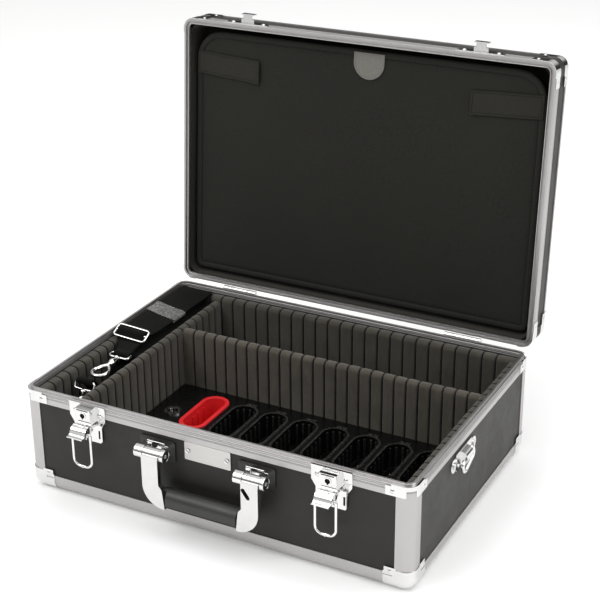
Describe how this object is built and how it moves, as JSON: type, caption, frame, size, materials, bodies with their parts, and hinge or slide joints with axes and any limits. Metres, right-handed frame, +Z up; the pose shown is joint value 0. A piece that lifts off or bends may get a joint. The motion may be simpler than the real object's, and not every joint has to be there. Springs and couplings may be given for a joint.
{
  "type": "equipment case",
  "caption": "Aluminium-framed equipment case with hinged lid, keyed draw latches, swing handle, slotted foam compartments and a fitted tray of pockets.",
  "frame": {"origin": "centre of the underside of the base, on the floor", "axes": "+X across the width to the right seen from the front, +Y from the front (latch side) to the back (hinge side), +Z up"},
  "size_m": [0.4764, 0.4337, 0.4615],
  "materials": {
    "black_laminate": "plywood with a fine-grained black laminate",
    "satin_aluminium": "satin anodised extrusion",
    "plate_aluminium": "fine brushed",
    "chrome_plate": "bright nickel-chrome plated steel",
    "chrome_wire": "bright plated wire",
    "steel_pin": "turned steel",
    "black_moulded": "textured black moulding",
    "black_grip": "soft satin black grip",
    "foam": "dense grey-brown foam with a cloth-like skin",
    "tray_plastic": "satin black moulding",
    "red_plastic": "red moulding",
    "contact_brass": "gold-coloured contact",
    "webbing": "woven black webbing",
    "lid_cloth": "black woven lining cloth"
  },
  "bodies": {
    "case_base": {"base_front_panel": "black_laminate", "base_back_panel": "black_laminate", "base_left_panel": "black_laminate", "base_right_panel": "black_laminate", "base_bottom_panel": "black_laminate", "base_corner_posts": "satin_aluminium", "base_bottom_edges": "satin_aluminium", "base_rim_frame": "satin_aluminium", "base_bottom_corner_caps": "chrome_plate", "base_top_corner_caps": "chrome_plate", "base_cap_rivets": "chrome_plate", "latch_plate_left": "chrome_plate", "latch_plate_right": "chrome_plate", "latch_hinge_pins": "steel_pin", "latch_rivets": "chrome_plate", "handle_backing_plates": "black_moulded", "handle_brackets": "chrome_plate", "handle_pins": "steel_pin", "name_plate": "plate_aluminium", "name_plate_screws": "steel_pin", "ring_saddle_left": "chrome_plate", "ring_saddle_right": "chrome_plate", "ring_saddle_screws": "steel_pin", "hinge_base_leaves": "chrome_plate", "hinge_pins": "steel_pin", "liner_front": "foam", "liner_back": "foam", "liner_left": "foam", "liner_right": "foam", "floor_mat": "foam", "divider_long": "foam", "divider_cross": "foam", "charging_tray": "tray_plastic", "red_pocket_insert": "red_plastic", "tray_socket": "chrome_plate", "contact_pins": "contact_brass", "shoulder_strap": "webbing", "strap_slide_buckle": "chrome_wire", "snap_hook_upper": "chrome_plate", "snap_hook_lower": "chrome_plate"},
    "lid": {"hinge_lid_leaves": "chrome_plate", "lid_wall_panels": "black_laminate", "lid_top_panel": "black_laminate", "lid_edges": "satin_aluminium", "lid_rim_frame": "satin_aluminium", "lid_corner_caps": "chrome_plate", "lid_catches": "chrome_plate", "lid_lining": "lid_cloth", "organiser_panel": "lid_cloth", "panel_flaps_and_tab": "lid_cloth"},
    "handle": {"handle_arms": "chrome_plate", "handle_grip": "black_grip"},
    "lever_left": {"latch_lever_left": "chrome_plate"},
    "bail_left": {"latch_bail_left": "chrome_wire"},
    "lock_left": {"lock_cylinder_left": "steel_pin"},
    "ring_left": {"strap_ring_left": "chrome_wire"},
    "lever_right": {"latch_lever_right": "chrome_plate"},
    "bail_right": {"latch_bail_right": "chrome_wire"},
    "lock_right": {"lock_cylinder_right": "steel_pin"},
    "ring_right": {"strap_ring_right": "chrome_wire"}
  },
  "joints": [
    {"name": "lid_hinge", "type": "hinge", "parent": "case_base", "child": "lid", "pos_m": [0, 0.1665, 0.1223], "axis": [-1, 0, 0], "range_deg": [-94.6, 0]},
    {"name": "latch_lever_left", "type": "hinge", "parent": "case_base", "child": "lever_left", "pos_m": [-0.147, -0.1705, 0.0985], "axis": [-1, 0, 0], "range_deg": [-57, 0]},
    {"name": "latch_bail_left", "type": "hinge", "parent": "lever_left", "child": "bail_left", "pos_m": [-0.147, -0.17687, 0.09436], "axis": [1, 0, 0], "range_deg": [-237, 0]},
    {"name": "key_turn_left", "type": "hinge", "parent": "case_base", "child": "lock_left", "pos_m": [-0.147, -0.169, 0.113], "axis": [0, -1, 0], "range_deg": [0, 90]},
    {"name": "latch_lever_right", "type": "hinge", "parent": "case_base", "child": "lever_right", "pos_m": [0.1426, -0.1705, 0.0985], "axis": [-1, 0, 0], "range_deg": [-57, 0]},
    {"name": "latch_bail_right", "type": "hinge", "parent": "lever_right", "child": "bail_right", "pos_m": [0.1426, -0.17687, 0.09436], "axis": [1, 0, 0], "range_deg": [-237, 0]},
    {"name": "key_turn_right", "type": "hinge", "parent": "case_base", "child": "lock_right", "pos_m": [0.1426, -0.169, 0.113], "axis": [0, -1, 0], "range_deg": [0, 90]},
    {"name": "handle_swing", "type": "hinge", "parent": "case_base", "child": "handle", "pos_m": [0.003, -0.1775, 0.094], "axis": [-1, 0, 0], "range_deg": [0, 95]},
    {"name": "ring_swing_left", "type": "hinge", "parent": "case_base", "child": "ring_left", "pos_m": [-0.2346, -0.0345, 0.094], "axis": [0, 0.9272, 0.3746], "range_deg": [0, 150]},
    {"name": "ring_swing_right", "type": "hinge", "parent": "case_base", "child": "ring_right", "pos_m": [0.2346, -0.0345, 0.094], "axis": [0, -0.9272, -0.3746], "range_deg": [0, 150]}
  ],
  "couplings": [
    {"joint": "latch_bail_left", "follows": "latch_lever_left", "ratio": 4.1578},
    {"joint": "latch_bail_right", "follows": "latch_lever_right", "ratio": 4.1578}
  ]
}
